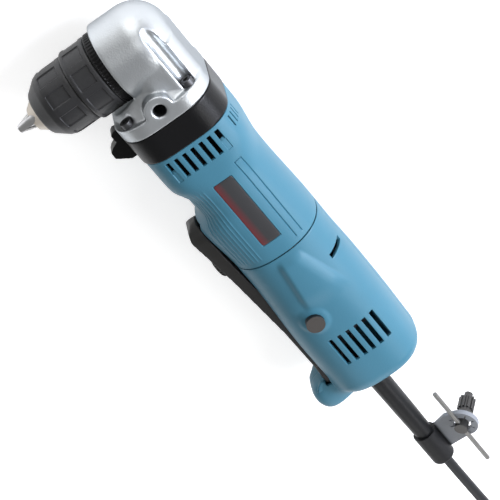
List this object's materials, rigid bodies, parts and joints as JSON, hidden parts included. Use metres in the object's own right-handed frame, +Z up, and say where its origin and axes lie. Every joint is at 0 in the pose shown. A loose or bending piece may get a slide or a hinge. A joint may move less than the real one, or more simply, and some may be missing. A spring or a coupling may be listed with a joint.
{
  "type": "right angle drill",
  "caption": "Corded right angle drill with a die-cast head, three-jaw chuck, blue housing, paddle switch and chuck key on the cord.",
  "frame": {"origin": "bottom centre of the drill without its cord, lying on its right side", "axes": "+X from the gear head to the tail along the motor axis, -Y the way the chuck points, +Z up through the left side"},
  "size_m": [0.5293, 0.1321, 0.0591],
  "materials": {
    "head_alloy": "satin die casting",
    "case_black": "fine moulded grain",
    "housing_blue": "fine moulded grain",
    "label_grey": "satin printed plate",
    "screw_steel": "blackened",
    "bright_steel": "ground",
    "gear_steel": "cut and hardened",
    "core_steel": "stacked sheets",
    "winding_copper": "varnished wire",
    "bar_copper": "turned copper",
    "holder_brass": "stamped",
    "brush_carbon": "pressed carbon",
    "inner_plastic": "plain moulding",
    "switch_grey": "plain moulding",
    "plunger_red": "plain moulding",
    "chuck_black": "dark satin sleeve",
    "chuck_nose": "turned",
    "jaw_steel": "ground",
    "paddle_black": "fine moulded grain",
    "button_grey": "smooth moulding",
    "guard_rubber": "soft moulded",
    "holder_rubber": "soft moulded",
    "key_steel": "forged and blackened",
    "cord_black": "smooth sheath",
    "tie_black": "plain strap",
    "plug_black": "fine moulded grain",
    "blade_brass": "stamped"
  },
  "bodies": {
    "housing": {"gear_housing": "head_alloy", "gear_case": "case_black", "spindle_cover": "case_black", "motor_housing": "housing_blue", "rear_cover_left": "housing_blue", "rear_cover_right": "housing_blue", "label_plate": "label_grey", "housing_screws": "screw_steel", "rear_cover_screws": "screw_steel", "clamp_screws": "screw_steel", "paddle_pin": "bright_steel", "front_motor_bearing": "bright_steel", "rear_motor_bearing": "bright_steel", "spindle_front_bearing": "bright_steel", "spindle_rear_bearing": "bright_steel", "countershaft_front_bearing": "bright_steel", "countershaft_rear_bearing": "bright_steel", "brush_springs": "bright_steel", "field_core": "core_steel", "field_coils": "winding_copper", "brush_holders": "holder_brass", "carbon_brushes": "brush_carbon", "baffle_plate": "inner_plastic", "cord_clamp": "inner_plastic", "switch_body": "switch_grey", "cord_guard": "guard_rubber", "key_holder": "holder_rubber", "power_cord": "cord_black", "cord_coil": "cord_black", "coil_tie": "tie_black", "plug_body": "plug_black", "plug_blades": "blade_brass"},
    "motor": {"armature_shaft": "bright_steel", "armature_core": "core_steel", "armature_windings": "winding_copper", "commutator": "bar_copper", "fan": "inner_plastic", "motor_pinion": "gear_steel"},
    "countershaft": {"countershaft": "bright_steel", "bevel_pinion": "gear_steel", "reduction_gear": "gear_steel"},
    "spindle": {"spindle": "bright_steel", "bevel_gear": "gear_steel", "chuck_body": "chuck_nose", "rear_sleeve": "chuck_black", "chuck_screw": "screw_steel"},
    "chuck_sleeve": {"front_sleeve": "chuck_black", "jaw_nut": "gear_steel"},
    "jaw_1": {"jaw_1": "jaw_steel"},
    "jaw_2": {"jaw_2": "jaw_steel"},
    "jaw_3": {"jaw_3": "jaw_steel"},
    "paddle": {"switch_paddle": "paddle_black"},
    "dial": {"speed_dial": "paddle_black"},
    "plunger": {"switch_plunger": "plunger_red"},
    "lock_button": {"lock_button": "button_grey"},
    "chuck_key": {"key_body": "key_steel", "key_bar": "key_steel"}
  },
  "joints": [
    {"name": "motor_spin", "type": "hinge", "parent": "housing", "child": "motor", "pos_m": [-0.01485, 0.0205, 0.028], "axis": [1, 0, 0], "continuous": true},
    {"name": "countershaft_spin", "type": "hinge", "parent": "housing", "child": "countershaft", "pos_m": [-0.08485, 0.0331, 0.028], "axis": [1, 0, 0], "continuous": true},
    {"name": "spindle_spin", "type": "hinge", "parent": "housing", "child": "spindle", "pos_m": [-0.11485, 0.0205, 0.028], "axis": [0, 1, 0], "continuous": true},
    {"name": "sleeve_turn", "type": "hinge", "parent": "spindle", "child": "chuck_sleeve", "pos_m": [-0.11485, -0.0195, 0.028], "axis": [0, 1, 0], "range_deg": [0, 1920]},
    {"name": "jaw_1_slide", "type": "slide", "parent": "spindle", "child": "jaw_1", "axis": [0.2924, 0.9563, 0], "range_m": [0, 0.0171]},
    {"name": "jaw_2_slide", "type": "slide", "parent": "spindle", "child": "jaw_2", "axis": [-0.1462, 0.9563, -0.2532], "range_m": [0, 0.0171]},
    {"name": "jaw_3_slide", "type": "slide", "parent": "spindle", "child": "jaw_3", "axis": [-0.1462, 0.9563, 0.2532], "range_m": [0, 0.0171]},
    {"name": "paddle_press", "type": "hinge", "parent": "housing", "child": "paddle", "pos_m": [0.11815, -0.0085, 0.028], "axis": [0, 0, -1], "range_deg": [0, 1.8], "stiffness_Nm_per_rad": 20, "springref_deg": -1.72},
    {"name": "plunger_slide", "type": "slide", "parent": "housing", "child": "plunger", "axis": [0, 1, 0], "range_m": [0, 0.0013]},
    {"name": "dial_turn", "type": "hinge", "parent": "paddle", "child": "dial", "pos_m": [0.02265, -0.01545, 0.028], "axis": [0.0941, -0.9956, 0], "range_deg": [0, 270]},
    {"name": "button_press", "type": "slide", "parent": "housing", "child": "lock_button", "axis": [0, 0, -1], "range_m": [0, 0.0026], "stiffness_N_per_m": 600, "springref_m": -0.003},
    {"name": "key_pull", "type": "slide", "parent": "housing", "child": "chuck_key", "axis": [0, -0.454, 0.891], "range_m": [0, 0.035]}
  ],
  "couplings": [
    {"joint": "countershaft_spin", "follows": "motor_spin", "ratio": -0.33333},
    {"joint": "spindle_spin", "follows": "motor_spin", "ratio": -0.12745},
    {"joint": "jaw_1_slide", "follows": "sleeve_turn", "m_per_rad": 0.0005093},
    {"joint": "jaw_2_slide", "follows": "sleeve_turn", "m_per_rad": 0.0005093},
    {"joint": "jaw_3_slide", "follows": "sleeve_turn", "m_per_rad": 0.0005093},
    {"joint": "plunger_slide", "follows": "paddle_press", "m_per_rad": 0.041}
  ]
}
